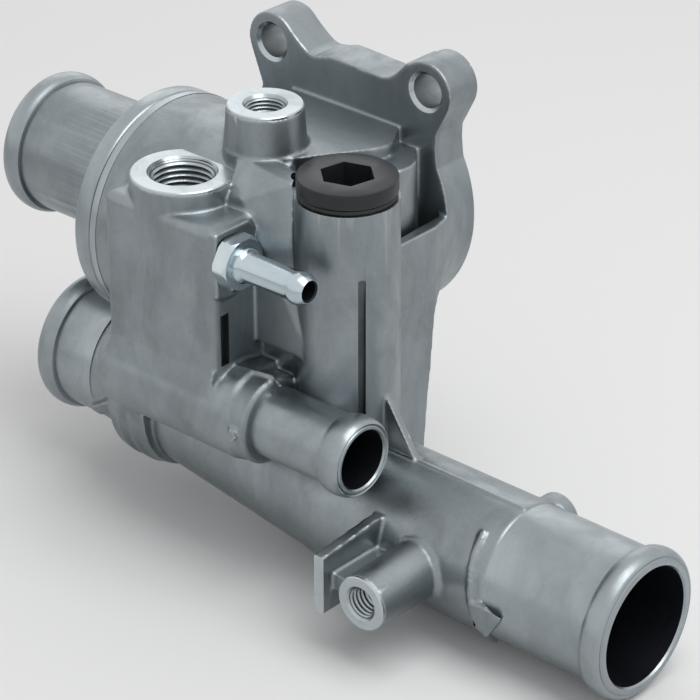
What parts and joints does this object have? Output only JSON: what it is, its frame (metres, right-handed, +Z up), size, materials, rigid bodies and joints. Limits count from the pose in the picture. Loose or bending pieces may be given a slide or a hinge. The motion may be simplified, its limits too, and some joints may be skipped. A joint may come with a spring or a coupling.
{
  "type": "engine thermostat housing",
  "caption": "Die-cast aluminium thermostat housing with a mounting flange, hose spigots, threaded sensor ports, a plugged tower, a bleed nipple and a wax thermostat inside.",
  "frame": {"origin": "on the engine face of the mounting flange, on its centre line, 8 mm below the line of the two upper bolt holes", "axes": "+X along the return pipe to its pump end, +Y into the engine, square to the flange, +Z up"},
  "size_m": [0.2044, 0.08, 0.1216],
  "materials": {
    "die_cast_aluminium": "as die-cast, satin and slightly mottled",
    "cast_aluminium_cover": "as die-cast, satin",
    "black_plastic": "moulded, satin",
    "black_rubber": "matt",
    "zinc_plated_steel": "bright zinc plated",
    "stainless_steel": "stamped",
    "brass": "turned",
    "spring_steel": "drawn wire"
  },
  "bodies": {
    "housing": {"housing_casting": "die_cast_aluminium", "outlet_cover": "cast_aluminium_cover", "closing_plug": "black_plastic", "plug_seal": "black_rubber", "bleed_nipple": "zinc_plated_steel", "flange_gasket": "black_rubber", "cover_gasket": "black_rubber", "thermostat_frame": "stainless_steel", "support_frame": "stainless_steel", "piston_pin": "stainless_steel", "main_spring": "spring_steel"},
    "valve": {"wax_capsule": "brass", "bypass_spring": "spring_steel"},
    "bypass": {"bypass_disc": "stainless_steel"}
  },
  "joints": [
    {"name": "valve_lift", "type": "slide", "parent": "housing", "child": "valve", "axis": [1, 0, 0], "range_m": [0, 0.008], "stiffness_N_per_m": 3700, "springref_m": -0.006, "deforming": ["main_spring"]},
    {"name": "bypass_give", "type": "slide", "parent": "valve", "child": "bypass", "axis": [1, 0, 0], "range_m": [-0.002, 0], "stiffness_N_per_m": 900, "springref_m": 0.002, "deforming": ["bypass_spring"]}
  ]
}
